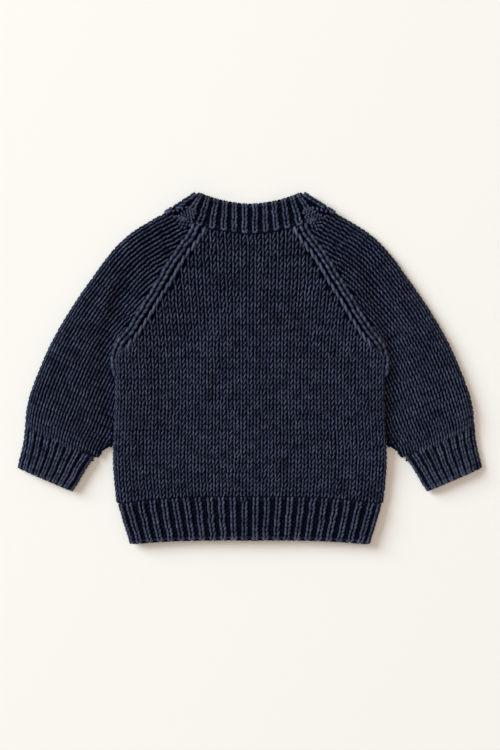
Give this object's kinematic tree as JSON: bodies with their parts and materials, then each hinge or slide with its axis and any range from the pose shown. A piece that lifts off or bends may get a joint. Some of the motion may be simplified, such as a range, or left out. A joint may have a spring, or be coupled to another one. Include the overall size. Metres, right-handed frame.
{
  "type": "child's knitted raglan cardigan laid flat",
  "caption": "Small child's chunky knitted raglan cardigan in navy wool, laid flat on its buttoned front with its back up, with ribbed hem, cuffs and neckband.",
  "frame": {"origin": "on the surface it lies on, under the middle of the whole garment's box", "axes": "+X across the garment towards the wearer's right, +Y up it from hem to neck, +Z up from the surface, through the front and out of the back"},
  "size_m": [0.49, 0.3738, 0.013],
  "materials": {
    "knit": "matte plied wool in stocking stitch",
    "rib": "matte plied wool in one-by-one rib",
    "button": "satin dark horn-like resin"
  },
  "bodies": {
    "root": {"back": "knit", "front_left": "knit", "front_right": "knit", "sleeve_left": "knit", "sleeve_right": "knit", "cuff_left": "rib", "cuff_right": "rib", "hem_back": "rib", "hem_front_left": "rib", "hem_front_right": "rib", "neckband": "rib", "button_band": "rib", "buttonhole_band": "rib", "button_1": "button", "button_2": "button", "button_3": "button", "button_4": "button", "button_5": "button"}
  },
  "joints": []
}
